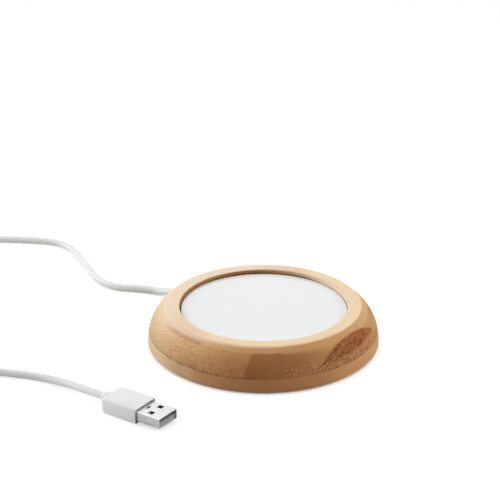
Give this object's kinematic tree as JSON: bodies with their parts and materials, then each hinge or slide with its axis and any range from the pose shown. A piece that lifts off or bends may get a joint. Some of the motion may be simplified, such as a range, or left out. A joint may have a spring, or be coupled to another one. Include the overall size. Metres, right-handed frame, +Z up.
{
  "type": "electric mug warmer",
  "caption": "Round mug warmer: a turned bamboo ring round a white heated plate, with a thin white cord that leaves its back and ends in a USB plug.",
  "frame": {"origin": "on the table under the middle of the ring", "axes": "+Z up out of the heating plate, -Y towards the user, the cord leaves at the back left, between -X and +Y"},
  "size_m": [0.2387, 0.2037, 0.0185],
  "materials": {
    "bamboo": "sanded and sealed laminated bamboo",
    "white_enamel": "glossy white coating on aluminium",
    "grey_silicone": "soft silicone",
    "foot_rubber": "soft pale silicone",
    "white_abs": "fine matt moulding",
    "steel": "zinc-plated steel",
    "brass": "turned",
    "amber_film": "polyimide heater film",
    "mica": "pressed mica sheet",
    "felt": "glass-fibre felt",
    "aluminium": "drawn case",
    "sleeve": "woven glass-fibre sleeve",
    "solder": "solder",
    "green_board": "lacquered circuit board",
    "black_part": "moulded part",
    "red_wire": "wire insulation",
    "black_wire": "wire insulation",
    "white_wire": "silicone wire insulation",
    "white_pvc": "soft white PVC",
    "white_moulding": "white moulded grip",
    "nickel_steel": "nickel-plated steel",
    "tongue_plastic": "moulded insulator",
    "gold_contact": "gold-plated contact",
    "pale_tie": "soft plastic tie"
  },
  "bodies": {
    "root": {"bamboo_ring": "bamboo", "housing": "white_abs", "bottom_cover": "white_abs", "feet": "foot_rubber", "ring_screws": "steel", "cover_screws": "steel", "heating_plate": "white_enamel", "plate_gasket": "grey_silicone", "plate_standoffs": "brass", "plate_screws": "steel", "heater_film": "amber_film", "mica_disc": "mica", "felt_pad": "felt", "pressure_plate": "steel", "centre_stud": "steel", "stud_washer": "steel", "stud_nut": "steel", "thermostat": "aluminium", "thermal_fuse": "aluminium", "fuse_sleeve": "sleeve", "sensor_straps": "steel", "strap_rivets": "aluminium", "film_pads": "solder", "junction_board": "green_board", "board_pads": "solder", "board_fuse": "black_part", "board_screws": "steel", "lead_red": "red_wire", "lead_black": "black_wire", "thermostat_leads": "white_wire", "fuse_leads": "white_wire", "cord_clamp": "white_abs", "clamp_screws": "steel", "cord_grommet": "white_pvc", "cord_inner": "white_pvc", "cord": "white_pvc", "cord_end": "white_pvc", "cord_coil": "white_pvc", "cord_tie": "pale_tie", "plug_moulding": "white_moulding", "plug_neck": "white_moulding", "usb_shell": "nickel_steel", "usb_tongue": "tongue_plastic", "usb_contacts": "gold_contact", "usb_core": "tongue_plastic"}
  },
  "joints": []
}
